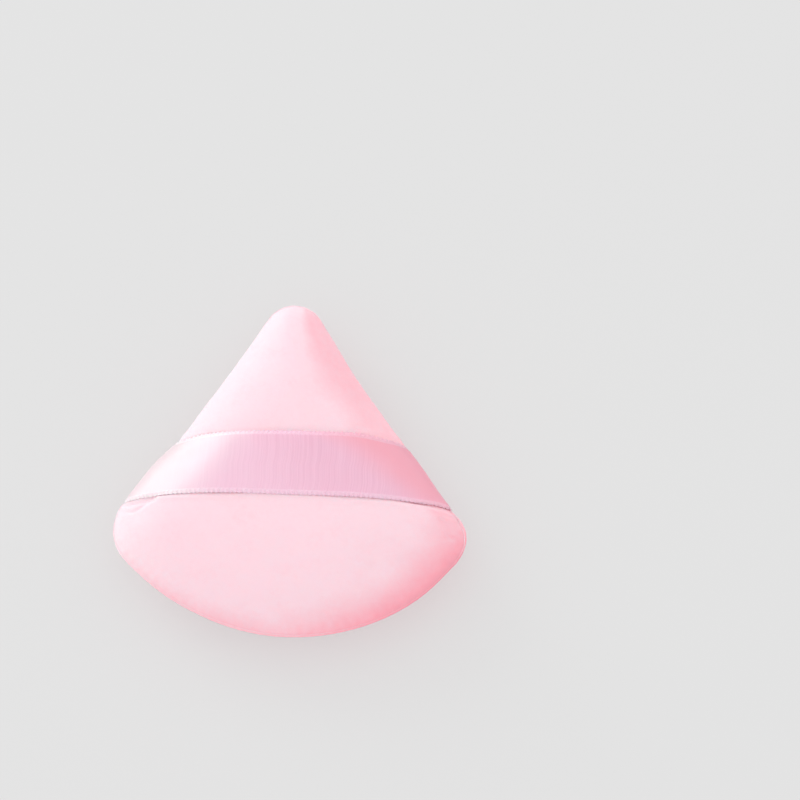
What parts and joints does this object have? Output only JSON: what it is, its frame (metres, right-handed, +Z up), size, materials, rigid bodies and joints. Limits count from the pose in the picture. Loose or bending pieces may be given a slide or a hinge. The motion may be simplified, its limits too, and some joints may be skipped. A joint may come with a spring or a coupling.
{
  "type": "powder puff",
  "caption": "Rounded-triangle velour powder puff with a foam core and a satin finger ribbon across its back.",
  "frame": {"origin": "middle of the bounding box at the table, under the pressed-flat powder side", "axes": "+Z up through the ribboned back, +Y towards the tip, +X along the ribbon towards the right corner"},
  "size_m": [0.0804, 0.0792, 0.021],
  "materials": {
    "back_velour": "soft brushed velour",
    "powder_velour": "soft brushed velour",
    "foam": "open-cell foam",
    "satin": "satin ribbon weave",
    "thread": "spun polyester thread"
  },
  "bodies": {
    "puff": {"back_cover": "back_velour", "powder_cover": "powder_velour", "foam_core": "foam", "seam_needle_thread": "thread", "seam_bobbin_thread": "thread", "left_tack_thread": "thread", "right_tack_thread": "thread", "closing_thread": "thread", "strap_left_end": "satin", "strap_right_end": "satin"},
    "strap": {"strap_span": "satin"}
  },
  "joints": [
    {"name": "strap_lift", "type": "slide", "parent": "puff", "child": "strap", "axis": [0, 0, 1], "range_m": [-0.0005, 0.007], "stiffness_N_per_m": 10, "deforming": ["strap_left_end", "strap_right_end"]}
  ]
}
